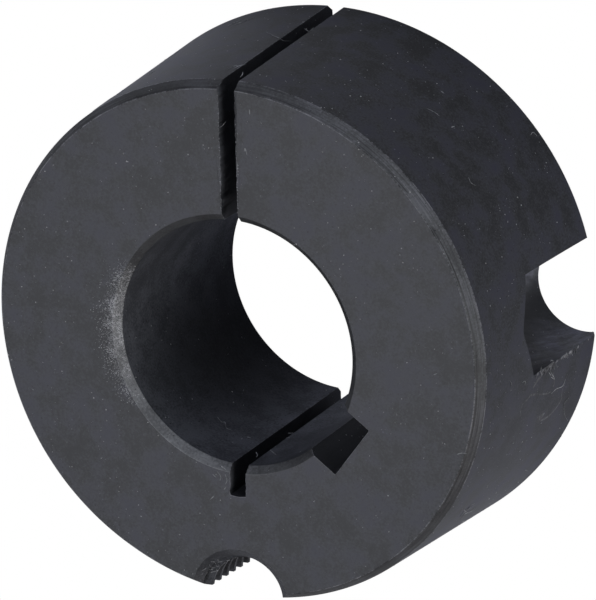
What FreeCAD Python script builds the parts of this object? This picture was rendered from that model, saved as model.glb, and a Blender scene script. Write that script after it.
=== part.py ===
import FreeCAD, Part
import Sketcher
import os

# Taper bush, size 1610, with a one inch bore.
# One turned, drilled, tapped and sawn piece of iron.
# It stands on its large end: z = 0 is the large end face and +Z runs along the bore
# to the small end. The saw slit is at +Y and the blind half-holes are near +X and -X.

NODE = "taper_bush"

# Driving dimensions, in millimetres and degrees.
SIZES = {
    # Turned blank. The large diameter is the cone's, at the large end face.
    "bush_length": 25.4,
    "large_diameter": 57.0,
    "taper_angle": 8.0,
    "bore_diameter": 25.4,
    "large_chamfer_length": 1.1,
    "large_chamfer_width": 0.73,
    "small_chamfer_length": 1.1,
    "small_chamfer_width": 0.73,
    "large_bore_chamfer": 0.65,
    "small_bore_chamfer": 0.7,
    # Saw slit through one side, and the shallow slot opposite that lets the bush flex.
    "saw_width": 1.8,
    "saw_offset": 0.1,
    "flex_slot_depth": 3.2,
    "flex_slot_bottom_radius": 4.0,
    # Keyway in the bore.
    "key_width": 6.35,
    "key_depth": 3.175,
    "key_direction": -36.3,
    # Blind half-holes for the two clamping screws.
    "clearance_circle": 53.86,
    "clearance_diameter": 10.33,
    "clearance_depth": 14.25,
    "clearance_direction": 4.43,
    "drill_point_angle": 130.0,
    # Threaded half-hole for the jacking screw: 3/8 inch, 16 threads to the inch.
    "jack_circle": 54.0,
    "tapping_diameter": 7.9,
    "thread_diameter": 9.525,
    "thread_pitch": 1.5875,
    "thread_angle": 55.0,
    "thread_root_width": 0.26,
    "thread_start": 1.31,
    "mouth_diameter": 10.8,
    "mouth_angle": 90.0,
}

# How far a cutting outline runs past the metal that it cuts.
OVERRUN = 1.0
# How far the thread's cutting outline reaches inside the tapping hole.
TOOL_REACH = 0.2

# The origin and the named ends of a side, as a sketch counts them.
ORIGIN = (-1, 1)
START = 1
END = 2
CENTRE = 3


def sheet_of(doc):
    """Write the driving dimensions into a spreadsheet, one alias each."""
    sheet = doc.addObject("Spreadsheet::Sheet", "sizes")
    for row, (name, value) in enumerate(SIZES.items(), start=1):
        sheet.set("A%d" % row, name)
        sheet.set("B%d" % row, str(value))
        sheet.setAlias("B%d" % row, name)
    doc.recompute()


def plane_of(body, role):
    """The body's own origin plane with this role."""
    return [item for item in body.Origin.OriginFeatures if item.Role == role][0]


def sketch_on(body, role, name):
    """A new sketch on one of the body's origin planes."""
    sketch = body.newObject("Sketcher::SketchObject", name)
    sketch.AttachmentSupport = (plane_of(body, role), [""])
    sketch.MapMode = "FlatFace"
    return sketch


def jack_axis_sketch(body, name):
    """A sketch in the plane of the bore and the jacking hole, centred on that hole."""
    sketch = sketch_on(body, "YZ_Plane", name)
    sketch.setExpression("AttachmentOffset.Base.x", "-sizes.jack_circle / 2")
    return sketch


def bind(sketch, kind, places, rule):
    """Add a constraint whose value follows a rule on the sizes."""
    value = sketch.evalExpression(rule)
    number = sketch.addConstraint(Sketcher.Constraint(kind, *places, value))
    sketch.setExpression("Constraints[%d]" % number, rule)


def place(sketch, side, end, across, up):
    """Hold a point of a sketch at its distances across and up from the origin."""
    bind(sketch, "DistanceX", (*ORIGIN, side, end), across)
    bind(sketch, "DistanceY", (*ORIGIN, side, end), up)


def point_at(sketch, across, up):
    """Where two rules on the sizes put a point now."""
    return FreeCAD.Vector(sketch.evalExpression(across), sketch.evalExpression(up), 0)


def outline(sketch, corners, arc=None):
    """Close an outline through corners placed by rules.

    Its sides are straight, apart from the one whose number and radius arc gives,
    which bulges outwards.
    """
    points = [point_at(sketch, *corner) for corner in corners]
    sides = list(zip(points, points[1:] + points[:1]))
    for number, (start, end) in enumerate(sides):
        if arc and number == arc[0]:
            chord = end - start
            outwards = FreeCAD.Vector(chord.y, -chord.x, 0).normalize()
            radius = sketch.evalExpression(arc[1])
            rise = radius - (radius ** 2 - (chord.Length / 2) ** 2) ** 0.5
            middle = (start + end) / 2 + outwards * rise
            sketch.addGeometry(Part.Arc(start, middle, end), False)
        else:
            sketch.addGeometry(Part.LineSegment(start, end), False)
    for side in range(len(sides)):
        following = (side + 1) % len(sides)
        sketch.addConstraint(Sketcher.Constraint("Coincident", side, END, following, START))
    for side, corner in enumerate(corners):
        place(sketch, side, START, *corner)
    if arc:
        bind(sketch, "Radius", (arc[0],), arc[1])


def circle_at(sketch, diameter, across, up):
    """A circle placed by rules."""
    centre = point_at(sketch, across, up)
    normal = FreeCAD.Vector(0, 0, 1)
    radius = sketch.evalExpression(diameter) / 2
    sketch.addGeometry(Part.Circle(centre, normal, radius), False)
    place(sketch, 0, CENTRE, across, up)
    bind(sketch, "Diameter", (0,), diameter)


def turned(along, aside, direction):
    """Rules for a point so far along a direction from the bore, and aside of it."""
    across = "(%s) * cos(%s) - (%s) * sin(%s)" % (along, direction, aside, direction)
    up = "(%s) * sin(%s) + (%s) * cos(%s)" % (along, direction, aside, direction)
    return across, up


def finished(feature, before):
    """Recompute a cut and make sure that it took metal away from the volume before."""
    feature.Document.recompute()
    volume = feature.Shape.Volume
    if not 0 < volume < before - 1e-3:
        raise RuntimeError(feature.Name + " took nothing away")
    return volume


def turned_blank(body):
    """The cone with its bore and four chamfers, turned from one half-section."""
    cone = "(sizes.large_diameter / 2 - (%s) * tan(sizes.taper_angle / 2))"
    low = "sizes.large_chamfer_length"
    high = "(sizes.bush_length - sizes.small_chamfer_length)"
    bore = "sizes.bore_diameter / 2"
    section = sketch_on(body, "XZ_Plane", "half_section")
    outline(section, [
        (bore + " + sizes.large_bore_chamfer", "0"),
        (cone % low + " - sizes.large_chamfer_width", "0"),
        (cone % low, low),
        (cone % high, high),
        (cone % high + " - sizes.small_chamfer_width", "sizes.bush_length"),
        (bore + " + sizes.small_bore_chamfer", "sizes.bush_length"),
        (bore, "sizes.bush_length - sizes.small_bore_chamfer"),
        (bore, "sizes.large_bore_chamfer"),
    ])
    blank = body.newObject("PartDesign::Revolution", "blank")
    blank.Profile = section
    blank.ReferenceAxis = (section, ["V_Axis"])
    blank.Angle = 360.0
    body.Document.recompute()
    return blank.Shape.Volume


def cut_along_bore(body, sketch, name, volume):
    """Cut a sketch of the large end's plane through the whole length."""
    pocket = body.newObject("PartDesign::Pocket", name)
    pocket.Profile = sketch
    pocket.Type = "ThroughAll"
    pocket.Reversed = True
    return finished(pocket, volume)


def saw_slit(body, volume):
    """The slit right through one wall, which lets the bush close on its shaft."""
    left = "sizes.saw_offset - sizes.saw_width / 2"
    right = "sizes.saw_offset + sizes.saw_width / 2"
    outside = "sizes.large_diameter / 2 + %s" % OVERRUN
    sketch = sketch_on(body, "XY_Plane", "slit_outline")
    outline(sketch, [(left, "0"), (right, "0"), (right, outside), (left, outside)])
    return cut_along_bore(body, sketch, "slit", volume)


def flex_slot(body, volume):
    """The shallow slot opposite the slit, with the round bottom of its cutter."""
    left = "sizes.saw_offset - sizes.saw_width / 2"
    right = "sizes.saw_offset + sizes.saw_width / 2"
    bottom = ("-sizes.bore_diameter / 2 - sizes.flex_slot_depth + sizes.flex_slot_bottom_radius"
              " - sqrt(sizes.flex_slot_bottom_radius ^ 2 - sizes.saw_width ^ 2 / 4)")
    sketch = sketch_on(body, "XY_Plane", "flex_slot_outline")
    corners = [(left, bottom), (right, bottom), (right, "0"), (left, "0")]
    outline(sketch, corners, arc=(0, "sizes.flex_slot_bottom_radius"))
    return cut_along_bore(body, sketch, "flex_slot", volume)


def keyway(body, volume):
    """The keyway, broached along the whole bore."""
    half = "sizes.key_width / 2"
    bottom = "sizes.bore_diameter / 2 + sizes.key_depth"
    places = [("0", "-" + half), (bottom, "-" + half), (bottom, half), ("0", half)]
    corners = [turned(along, aside, "sizes.key_direction") for along, aside in places]
    sketch = sketch_on(body, "XY_Plane", "key_outline")
    outline(sketch, corners)
    return cut_along_bore(body, sketch, "keyway", volume)


def clearance_holes(body, volume):
    """Two blind half-holes drilled from the large end, one each side of the slit."""
    centre = turned("sizes.clearance_circle / 2", "0", "sizes.clearance_direction")
    sketch = sketch_on(body, "XY_Plane", "clearance_centre")
    circle_at(sketch, "sizes.clearance_diameter", *centre)
    body.Document.recompute()
    hole = body.newObject("PartDesign::Hole", "clearance_hole")
    hole.Profile = sketch
    hole.Reversed = True
    hole.ThreadType = "None"
    hole.DepthType = "Dimension"
    hole.DrillPoint = "Angled"
    hole.setExpression("Diameter", "sizes.clearance_diameter")
    hole.setExpression("Depth", "sizes.clearance_depth")
    hole.setExpression("DrillPointAngle", "sizes.drill_point_angle")
    volume = finished(hole, volume)
    pair = body.newObject("PartDesign::Mirrored", "clearance_hole_pair")
    pair.Originals = [hole]
    pair.MirrorPlane = (plane_of(body, "YZ_Plane"), [""])
    body.Tip = pair
    return finished(pair, volume)


def tapping_hole(body, volume):
    """The half-hole for the jacking screw, drilled through and countersunk at both ends."""
    sketch = sketch_on(body, "XY_Plane", "jack_centre")
    circle_at(sketch, "sizes.tapping_diameter", "0", "-sizes.jack_circle / 2")
    body.Document.recompute()
    hole = body.newObject("PartDesign::Hole", "tapping_hole")
    hole.Profile = sketch
    hole.Reversed = True
    hole.ThreadType = "None"
    hole.DepthType = "ThroughAll"
    hole.HoleCutType = "Countersink"
    hole.HoleCutCustomValues = True
    hole.setExpression("Diameter", "sizes.tapping_diameter")
    hole.setExpression("HoleCutDiameter", "sizes.mouth_diameter")
    hole.setExpression("HoleCutCountersinkAngle", "sizes.mouth_angle")
    volume = finished(hole, volume)

    rise = "(sizes.mouth_diameter / 2) / tan(sizes.mouth_angle / 2)"
    section = jack_axis_sketch(body, "mouth_section")
    outline(section, [
        ("0", "sizes.bush_length - " + rise),
        ("sizes.mouth_diameter / 2 + %s * tan(sizes.mouth_angle / 2)" % OVERRUN,
         "sizes.bush_length + %s" % OVERRUN),
        ("0", "sizes.bush_length + %s" % OVERRUN),
    ])
    mouth = body.newObject("PartDesign::Groove", "small_end_mouth")
    mouth.Profile = section
    mouth.ReferenceAxis = (section, ["V_Axis"])
    mouth.Angle = 360.0
    return finished(mouth, volume)


def jack_thread(body, volume):
    """The thread of the jacking hole, one helical groove that runs out at both ends.

    Its turning begins thread_start below the large end, on the side nearest the bore.
    """
    root = "sizes.thread_diameter / 2"
    inner = "sizes.tapping_diameter / 2 - %s" % TOOL_REACH
    root_half = "sizes.thread_root_width / 2"
    inner_half = "(%s + (%s - (%s)) * tan(sizes.thread_angle / 2))" % (root_half, root, inner)
    below = "-sizes.thread_start"
    section = jack_axis_sketch(body, "thread_section")
    outline(section, [
        (inner, below + " - " + inner_half),
        (root, below + " - " + root_half),
        (root, below + " + " + root_half),
        (inner, below + " + " + inner_half),
    ])
    thread = body.newObject("PartDesign::SubtractiveHelix", "jack_thread")
    thread.Profile = section
    thread.ReferenceAxis = (section, ["V_Axis"])
    thread.Mode = "pitch-height-angle"
    thread.setExpression("Pitch", "sizes.thread_pitch")
    thread.setExpression("Height", "sizes.bush_length + sizes.thread_start + sizes.thread_pitch")
    return finished(thread, volume)


def taper_bush(doc):
    """The whole bush, in the order in which it is made."""
    body = doc.addObject("PartDesign::Body", NODE)
    body.Label = NODE
    body.Placement = FreeCAD.Placement()
    volume = turned_blank(body)
    for step in (clearance_holes, tapping_hole, jack_thread, keyway, flex_slot, saw_slit):
        volume = step(body, volume)
    return body


def check(doc, body):
    """Stop if any feature failed or the bush isn't one sound solid."""
    for item in doc.Objects:
        if "Invalid" in item.State or "Error" in item.State:
            raise RuntimeError(item.Name + " failed")
    shape = body.Shape
    if shape.isNull() or not shape.isValid() or len(shape.Solids) != 1:
        raise RuntimeError(body.Label + " isn't one sound solid")


doc = FreeCAD.newDocument("taper_bush_model")
sheet_of(doc)
bush = taper_bush(doc)
doc.recompute()
check(doc, bush)
os.makedirs("parts", exist_ok=True)
bush.Shape.exportStep("parts/%s.step" % bush.Label)
print("volume %.1f mm3" % bush.Shape.Volume)
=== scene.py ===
"""Looks of a taper bush: its turned and sawn metal, its burrs and lint, and a small studio."""

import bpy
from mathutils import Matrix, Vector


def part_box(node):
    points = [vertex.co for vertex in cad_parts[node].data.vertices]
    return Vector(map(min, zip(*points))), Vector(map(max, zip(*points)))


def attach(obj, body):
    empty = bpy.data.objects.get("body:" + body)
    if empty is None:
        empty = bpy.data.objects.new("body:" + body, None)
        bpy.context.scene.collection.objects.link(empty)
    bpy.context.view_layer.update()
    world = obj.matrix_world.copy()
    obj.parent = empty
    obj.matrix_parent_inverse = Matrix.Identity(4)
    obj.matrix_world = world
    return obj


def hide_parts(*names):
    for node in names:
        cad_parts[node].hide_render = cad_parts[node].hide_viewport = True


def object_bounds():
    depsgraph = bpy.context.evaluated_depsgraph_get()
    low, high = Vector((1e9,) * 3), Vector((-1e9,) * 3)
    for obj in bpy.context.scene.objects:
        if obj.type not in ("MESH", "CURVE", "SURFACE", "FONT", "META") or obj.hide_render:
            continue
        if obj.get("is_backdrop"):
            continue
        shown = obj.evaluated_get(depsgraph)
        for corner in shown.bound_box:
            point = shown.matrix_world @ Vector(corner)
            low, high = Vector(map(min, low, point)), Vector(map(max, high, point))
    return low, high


bl_info = {
    "name": "Taper bush",
    "version": (1, 0, 0),
    "blender": (4, 5, 0),
    "location": "View3D > Sidebar > Taper bush",
    "description": "Builds a split conical bush with its tool marks, burrs, dust and a studio",
    "category": "Object",
}

import math
import random
from collections import namedtuple
from functools import lru_cache
from types import SimpleNamespace

import bmesh
import bpy
from mathutils import Matrix, Vector, noise
from mathutils.bvhtree import BVHTree
from mathutils.geometry import interpolate_bezier

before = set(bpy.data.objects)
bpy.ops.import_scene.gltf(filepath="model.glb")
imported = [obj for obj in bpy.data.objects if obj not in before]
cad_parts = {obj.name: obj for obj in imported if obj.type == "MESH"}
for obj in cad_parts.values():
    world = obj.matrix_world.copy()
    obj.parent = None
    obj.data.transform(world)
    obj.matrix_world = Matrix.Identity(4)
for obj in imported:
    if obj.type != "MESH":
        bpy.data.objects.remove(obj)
CAD_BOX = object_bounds()

NODE = "taper_bush"
METAL = "taper_bush_metal"
BODY = "root"

# Pieces are modelled in millimetres and scaled to metres when they are finished.
MM = 0.001
BUSH_LOW, BUSH_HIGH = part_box(NODE)
BUSH_LENGTH = BUSH_HIGH.z - BUSH_LOW.z

# How far a cutting shape runs past the metal.
OVERRUN = 1.0
# Steps round a full turn, for the turned surfaces, drilled holes and the thread.
TURNED_STEPS = 512
DRILLED_STEPS = 128
THREAD_STEPS = 72
# Corners of a turned shape closer together than this are one, in millimetres.
SAME_PLACE = 1e-5
# Corners that the cuts leave closer together than this are one, in millimetres.
WELD = 0.006
# A cut's edge is rubbed where its sides meet at more than this angle.
SHARP = math.radians(20)

Z_AXIS = Vector((0, 0, 1))

# How far past one crossing a line starts again, in metres.
PAST_HIT = 2e-6


def length(name, description, millimetres):
    """A length that the user can set."""
    return bpy.props.FloatProperty(
        name=name, description=description, default=millimetres * MM, precision=5, unit="LENGTH")


def angle(name, description, degrees):
    """An angle that the user can set."""
    return bpy.props.FloatProperty(
        name=name, description=description, default=math.radians(degrees), subtype="ANGLE",
        unit="ROTATION")


def amount(name, description, value, low=0.0, high=1.0):
    """A plain number that the user can set."""
    return bpy.props.FloatProperty(
        name=name, description=description, default=value, min=low, max=high)


def colour(name, description, red, green, blue):
    """A colour that the user can set."""
    return bpy.props.FloatVectorProperty(
        name=name, description=description, default=(red, green, blue), size=3, min=0.0, max=1.0,
        subtype="COLOR")


class BushSizes(bpy.types.PropertyGroup):
    """Sizes of the metal."""

    bush_length: length("Length", "From the large end to the small end", BUSH_LENGTH / MM)
    large_diameter: length("Large diameter", "Cone's diameter at the large end", 57.0)
    taper: angle("Taper", "Included angle of the cone", 8.0)
    bore_diameter: length("Bore", "Diameter of the bore", 25.4)
    chamfer_length: length("Chamfer length", "Cone's chamfers, along the bore", 1.1)
    chamfer_width: length("Chamfer width", "Cone's chamfers, across the bore", 0.73)
    large_bore_chamfer: length("Bore chamfer, large end", "Bore's chamfer at the large end", 0.65)
    small_bore_chamfer: length("Bore chamfer, small end", "Bore's chamfer at the small end", 0.7)
    edge_radius: length("Edge radius", "Rounding that is left on the turned edges", 0.06)
    groove_offset: length("Groove offset", "From the cone chamfer's inner edge to its groove",
                          0.13)
    groove_width: length("Groove width", "Width of the groove beside that edge", 0.12)
    cut_edge: length("Cut edge", "Rounding of the edges that the saw, drill and broach left", 0.04)
    saw_width: length("Saw width", "Width of the slit and of the flex slot", 1.8)
    saw_offset: length("Saw offset", "How far the saw ran beside the bore's middle", 0.1)
    flex_slot_depth: length("Flex slot depth", "Depth of the flex slot below the bore", 3.2)
    flex_slot_bottom: length("Flex slot bottom", "Radius of the flex slot's round bottom", 4.0)
    key_width: length("Key width", "Width of the keyway", 6.35)
    key_depth: length("Key depth", "Depth of the keyway below the bore", 3.175)
    key_direction: angle("Key direction", "Direction of the keyway from +X", -36.3)
    key_corner: length("Key corner", "Radius in the keyway's bottom corners", 0.15)
    clearance_circle: length("Clamp circle", "Circle of the blind half-holes", 53.86)
    clearance_diameter: length("Clamp hole", "Diameter of the blind half-holes", 10.33)
    clearance_depth: length("Clamp hole depth", "Depth of the blind half-holes", 14.25)
    clearance_direction: angle("Clamp direction", "Direction of a blind half-hole from +X", 4.43)
    drill_point: angle("Drill point", "Included angle of the drilled ends", 130.0)
    jack_circle: length("Jack circle", "Circle of the threaded half-hole", 54.0)
    tapping_diameter: length("Tapping hole", "Diameter of the hole before it is tapped", 7.9)
    thread_diameter: length("Thread diameter", "Diameter at the thread's root", 9.525)
    thread_pitch: length("Thread pitch", "From one turn to the next", 1.5875)
    thread_angle: angle("Thread angle", "Angle between the thread's flanks", 55.0)
    thread_root: length("Thread root", "Width of the thread's root", 0.26)
    thread_start: length("Thread start", "How far below the large end the thread begins", 1.31)
    mouth_diameter: length("Mouth diameter", "Countersinks of the threaded half-hole", 10.8)
    mouth_angle: angle("Mouth angle", "Included angle of the countersinks", 90.0)


def in_millimetres(group):
    """The group's values as plain attributes, with its lengths in millimetres."""
    found = {}
    for prop in group.bl_rna.properties:
        if prop.identifier in ("rna_type", "name"):
            continue
        value = getattr(group, prop.identifier)
        found[prop.identifier] = value / MM if prop.unit == "LENGTH" else value
    return SimpleNamespace(**found)


# How a surface was cut: the way of its tool lines, their spacing and reach in metres, how far they
# show in its relief and in its colour, how far its colour is mottled, tinged and flecked, and its
# own share of the roughness, the colour and the gloss.
Look = namedtuple(
    "Look", "direction spacing reach relief streaks mottle tinge flecks rougher shade gloss")
FINISH_LOOKS = {
    "faced_end": Look("circles", 0.00014, 0.02, 0.15, 0.05, 0.68, 0.6, 2.2, 0.00, 1.03, 0.50),
    "turned_cone": Look("rings", 0.00015, 0.02, 0.10, 0.04, 0.60, 0.9, 2.4, 0.00, 0.99, 0.50),
    # The two chamfers' shares of the colour are painted light: both are painted far paler than the
    # face's coat, to stand in for the light that they catch.
    "turned_chamfer": Look("circles", 0.00013, 0.006, 0.90, 0.55, 0.25, 0.1, 0.8, 0.05, 2.80, 0.50),
    "bore_chamfer": Look("circles", 0.00014, 0.002, 0.50, 0.15, 0.30, 0.0, 0.8, 0.05, 2.40, 0.50),
    "bored_wall": Look("rings", 0.00020, 0.02, 0.15, 0.05, 0.35, 0.0, 1.0, 0.00, 1.60, 0.15),
    "rubbed_edge": Look("circles", 0.00010, 0.001, 0.10, 0.30, 0.80, 0.0, 0.0, -0.05, 1.00, 0.50),
    "drilled_wall": Look("drilled", 0.00060, 0.0025, 0.60, 0.55, 0.30, 0.5, 0.0, 0.00, 1.55, 0.50),
    "broached_wall": Look("strokes", 0.00015, 0.02, 0.40, 0.20, 0.20, 0.0, 0.0, 0.00, 0.70, 0.30),
    # The sawn walls' share of the colour is painted light: they are painted paler to stand in for
    # the light that falls into the cuts.
    "sawn_wall": Look("sweeps", 0.00020, 0.02, 0.20, 0.05, 0.20, 0.0, 0.0, 0.05, 3.00, 0.30),
    "tapped_wall": Look("circles", 0.00020, 0.02, 0.20, 0.10, 0.40, 0.0, 0.0, 0.08, 1.80, 0.50),
}
FINISHES = tuple(FINISH_LOOKS)


def cone_radius(size, height):
    """The cone's radius at a height above the large end."""
    return size.large_diameter / 2 - height * math.tan(size.taper / 2)


def blank_section(size):
    """The blank's half-section as (radius, height), from the bore's large end round the rim."""
    low = size.chamfer_length
    high = size.bush_length - size.chamfer_length
    bore = size.bore_diameter / 2
    return [
        (bore + size.large_bore_chamfer, 0),
        (cone_radius(size, low) - size.chamfer_width, 0),
        (cone_radius(size, low), low),
        (cone_radius(size, high), high),
        (cone_radius(size, high) - size.chamfer_width, size.bush_length),
        (bore + size.small_bore_chamfer, size.bush_length),
        (bore, size.bush_length - size.small_bore_chamfer),
        (bore, size.large_bore_chamfer),
    ]


def spun(section, steps, rounding=0):
    """A closed mesh turned about Z from a half-section of (radius, height) corners."""
    bm = bmesh.new()
    corners = [bm.verts.new((radius, 0, height)) for radius, height in section]
    bm.faces.new(corners)
    if rounding:
        bmesh.ops.bevel(
            bm, geom=corners, offset=rounding, offset_type="OFFSET", segments=3, profile=0.5,
            affect="VERTICES", material=-1)
    bmesh.ops.delete(bm, geom=bm.faces[:], context="FACES_ONLY")
    bmesh.ops.spin(
        bm, geom=bm.verts[:] + bm.edges[:], axis=Z_AXIS, angle=math.tau, steps=steps,
        use_merge=True)
    bmesh.ops.remove_doubles(bm, verts=bm.verts[:], dist=SAME_PLACE)
    bmesh.ops.dissolve_degenerate(bm, edges=bm.edges[:], dist=SAME_PLACE)
    loose = [edge for edge in bm.edges if edge.is_wire]
    bmesh.ops.delete(bm, geom=loose, context="EDGES")
    bmesh.ops.recalc_face_normals(bm, faces=bm.faces[:])
    return bm


def placed(bm, name, finishes):
    """An object from a bmesh, with one empty material slot for each finish."""
    mesh = bpy.data.meshes.new(name)
    bm.to_mesh(mesh)
    bm.free()
    for finish in finishes:
        mesh.materials.append(bpy.data.materials.get(finish) or bpy.data.materials.new(finish))
    made = bpy.data.objects.new(name, mesh)
    bpy.context.scene.collection.objects.link(made)
    return made


# How nearly a face has to follow a direction to count as facing it, how far a face of the cone
# may lean off it, and how far past its wall the bore's chamfer is looked for, in millimetres.
SQUARE = 0.999
CONE_LEAN = 1e-3
BORE_CHAMFER_REACH = 1.0


def turned_blank(size):
    """The cone with its bore and chamfers, each surface with the finish of its cut."""
    bm = spun(blank_section(size), TURNED_STEPS, size.edge_radius)
    lean = math.tan(size.taper / 2)
    for face in bm.faces:
        middle = face.calc_center_median()
        outwards = face.normal.dot(Vector((middle.x, middle.y, 0)).normalized())
        if abs(face.normal.z) > SQUARE:
            finish = "faced_end"
        elif outwards < -SQUARE:
            finish = "bored_wall"
        elif abs(face.normal.z - lean * outwards) < CONE_LEAN:
            finish = "turned_cone"
        elif middle.xy.length < size.bore_diameter / 2 + BORE_CHAMFER_REACH:
            finish = "bore_chamfer"
        elif face.calc_area() > 2 * size.edge_radius * math.tau * middle.xy.length / TURNED_STEPS:
            finish = "turned_chamfer"
        else:
            finish = "rubbed_edge"
        face.material_index = FINISHES.index(finish)
    return placed(bm, METAL, FINISHES)


def walled(size, outline, layers=1):
    """A closed prism over a flat outline of (x, y) corners, in layers right through the bush."""
    layer = (size.bush_length + 2 * OVERRUN) / layers
    bm = bmesh.new()
    corners = [bm.verts.new((x, y, -OVERRUN)) for x, y in outline]
    bottom = bm.faces.new(corners)
    sides = bottom.edges[:]
    bmesh.ops.delete(bm, geom=[bottom], context="FACES_ONLY")
    bmesh.ops.spin(
        bm, geom=sides, axis=Z_AXIS, dvec=(0, 0, layer), angle=0, steps=layers)
    bmesh.ops.holes_fill(bm, edges=[edge for edge in bm.edges if edge.is_boundary])
    bmesh.ops.recalc_face_normals(bm, faces=bm.faces[:])
    return bm


# How the saw's streaks bend: how far they lean over with the square of the height above or below
# the middle of the bend, in millimetres.
STREAK_BEND = 0.003
STREAK_MIDDLE = 12
# Layers of streaks: how closely they lie across the cut and along it, a number of their own, and
# how far they reach. The ridges of the last layer are sharp.
STREAKS = ((1.1, 0.05, 0, 0.5), (3.4, 0.35, 7, 0.6))
RIDGES = (2.2, 0.8, 13, 0.7)
# How far the saw strayed in the slit and in the flex slot, the share of that left deep down, and
# how far below the small end it is down to that share.
SLIT_STRAY = 0.15
FLEX_SLOT_STRAY = 0.12
DEEP_SHARE = 0.2
DEEP_FROM = 2.0
# Steps of the cutters' sawn walls: their length across and how many there are along the bush.
SLIT_STEP = 0.16
SLIT_LAYERS = 70
FLEX_SLOT_STEP = 0.2
FLEX_SLOT_LAYERS = 60


def saw_marks(place, seed):
    """How far the saw strayed at a place on its wall, in steep uneven streaks."""
    across = place.y + STREAK_BEND * (place.z - STREAK_MIDDLE) ** 2

    def layer(close, long, number, reach):
        return reach * noise.noise(Vector((across * close, place.z * long, seed + number)))

    return sum(layer(*streaks) for streaks in STREAKS) - abs(layer(*RIDGES))


def sawn(bm, size, stray):
    """Let both walls of a saw cut stray from their planes by the saw's marks, less deep down."""
    for vert in bm.verts:
        side = 1 if vert.co.x > size.saw_offset else -1
        high = min(max(vert.co.z - size.bush_length + DEEP_FROM, 0.0), 1.0)
        share = DEEP_SHARE + (1 - DEEP_SHARE) * high
        vert.co.x += side * stray * share * saw_marks(vert.co, 31 + 40 * side)
    return bm


def stepped(start, end, spacing):
    """Places from start up to end, not counting end, about one spacing apart."""
    count = max(1, round((end - start).length / spacing))
    return [start.lerp(end, number / count) for number in range(count)]


def saw_slit_cutter(size):
    """The slit through one wall."""
    half = size.saw_width / 2
    far = size.large_diameter / 2 + OVERRUN
    corners = [Vector((size.saw_offset + x, y)) for x, y in
               ((-half, 0), (half, 0), (half, far), (-half, far))]
    outline = []
    for start, end in zip(corners, corners[1:] + corners[:1]):
        outline += stepped(start, end, SLIT_STEP if start.x == end.x else size.saw_width)
    bm = walled(size, outline, SLIT_LAYERS)
    return placed(sawn(bm, size, SLIT_STRAY), "slit_cutter", ["sawn_wall"])


def flex_slot_cutter(size):
    """The shallow slot opposite the slit, with its round bottom."""
    half = size.saw_width / 2
    deep = -size.bore_diameter / 2 - size.flex_slot_depth
    sweep = math.asin(half / size.flex_slot_bottom)
    middle = Vector((size.saw_offset, deep + size.flex_slot_bottom))

    def on_bottom(turn):
        return middle + size.flex_slot_bottom * Vector((math.sin(turn), -math.cos(turn)))

    arc_steps = 10
    outline = [on_bottom(-sweep + 2 * sweep * number / arc_steps) for number in range(arc_steps)]
    corners = [on_bottom(sweep), Vector((size.saw_offset + half, 0)),
               Vector((size.saw_offset - half, 0)), on_bottom(-sweep)]
    outline += stepped(corners[0], corners[1], FLEX_SLOT_STEP)
    outline += stepped(corners[1], corners[2], size.saw_width)
    outline += stepped(corners[2], corners[3], FLEX_SLOT_STEP)
    bm = walled(size, outline, FLEX_SLOT_LAYERS)
    return placed(sawn(bm, size, FLEX_SLOT_STRAY), "flex_slot_cutter", ["sawn_wall"])


def keyway_cutter(size):
    """The broached keyway, with small radii in its bottom corners."""
    deep = size.bore_diameter / 2 + size.key_depth
    half = size.key_width / 2
    bm = walled(size, [(0, -half), (deep, -half), (deep, half), (0, half)])
    corner_edges = [edge for edge in bm.edges
                    if all(vert.co.x > deep / 2 for vert in edge.verts)
                    and abs(edge.verts[0].co.z - edge.verts[1].co.z) > OVERRUN]
    bmesh.ops.bevel(
        bm, geom=corner_edges, offset=size.key_corner, offset_type="OFFSET", segments=3,
        profile=0.5, affect="EDGES", material=-1)
    bmesh.ops.rotate(bm, verts=bm.verts[:], matrix=Matrix.Rotation(size.key_direction, 3, "Z"))
    return placed(bm, "keyway_cutter", ["broached_wall"])


def clamp_hole_cutter(size, side):
    """A blind hole with its drill point. Side is 1 towards +X and -1 towards -X."""
    radius = size.clearance_diameter / 2
    tip = size.clearance_depth + radius / math.tan(size.drill_point / 2)
    bm = spun([(0, -OVERRUN), (radius, -OVERRUN), (radius, size.clearance_depth), (0, tip)],
              DRILLED_STEPS)
    out = size.clearance_circle / 2
    across = side * out * math.cos(size.clearance_direction)
    bmesh.ops.translate(
        bm, verts=bm.verts[:], vec=(across, out * math.sin(size.clearance_direction), 0))
    return placed(bm, "clamp_hole_cutter", ["drilled_wall"])


def tapping_cutter(size):
    """The hole that is tapped, with a countersink at each end."""
    hole = size.tapping_diameter / 2
    mouth = size.mouth_diameter / 2
    slope = math.tan(size.mouth_angle / 2)
    deep = (mouth - hole) / slope
    wide = mouth + OVERRUN * slope
    top = size.bush_length
    bm = spun([(0, -OVERRUN), (wide, -OVERRUN), (hole, deep), (hole, top - deep),
               (wide, top + OVERRUN), (0, top + OVERRUN)], DRILLED_STEPS)
    bmesh.ops.translate(bm, verts=bm.verts[:], vec=(0, -size.jack_circle / 2, 0))
    return placed(bm, "tapping_cutter", ["tapped_wall"])


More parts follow.
